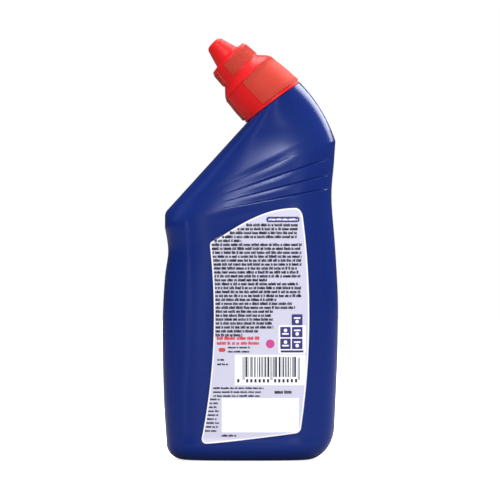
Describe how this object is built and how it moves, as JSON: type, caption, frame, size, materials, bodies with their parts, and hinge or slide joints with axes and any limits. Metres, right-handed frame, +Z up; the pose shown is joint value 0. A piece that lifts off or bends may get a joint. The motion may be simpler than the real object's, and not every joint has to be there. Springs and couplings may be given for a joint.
{
  "type": "toilet cleaner bottle",
  "caption": "Upright blow-moulded bottle with a leaning neck, ribbed grip shoulder, flat label panels and a stepped screw cap over its dosing nozzle.",
  "frame": {"origin": "middle of the bounding box at the height of the standing ring under the base", "axes": "+Z up along the bottle, +X away from the side that the neck leans to, -Y out of the back label"},
  "size_m": [0.0902, 0.0476, 0.2168],
  "materials": {
    "bottle_plastic": "gloss",
    "liquid": "gloss",
    "back_label_film": "satin",
    "front_label_film": "satin",
    "nozzle_plastic": "satin",
    "seal_foam": "matte",
    "cap_plastic": "satin"
  },
  "bodies": {
    "bottle": {"bottle": "bottle_plastic", "cleaning_liquid": "liquid", "back_label": "back_label_film", "front_label": "front_label_film", "nozzle_insert": "nozzle_plastic"},
    "seal": {"seal_wad": "seal_foam"},
    "cap": {"cap": "cap_plastic"}
  },
  "joints": [
    {"name": "cap_lift", "type": "slide", "parent": "bottle", "child": "seal", "axis": [-0.7071, 0, 0.7071], "range_m": [0, 0.006]},
    {"name": "cap_turn", "type": "hinge", "parent": "seal", "child": "cap", "pos_m": [0.01174, 0, 0.183], "axis": [-0.7071, 0, 0.7071], "range_deg": [0, 120]}
  ],
  "couplings": [
    {"joint": "cap_lift", "follows": "cap_turn", "m_per_rad": 0.0028647}
  ]
}
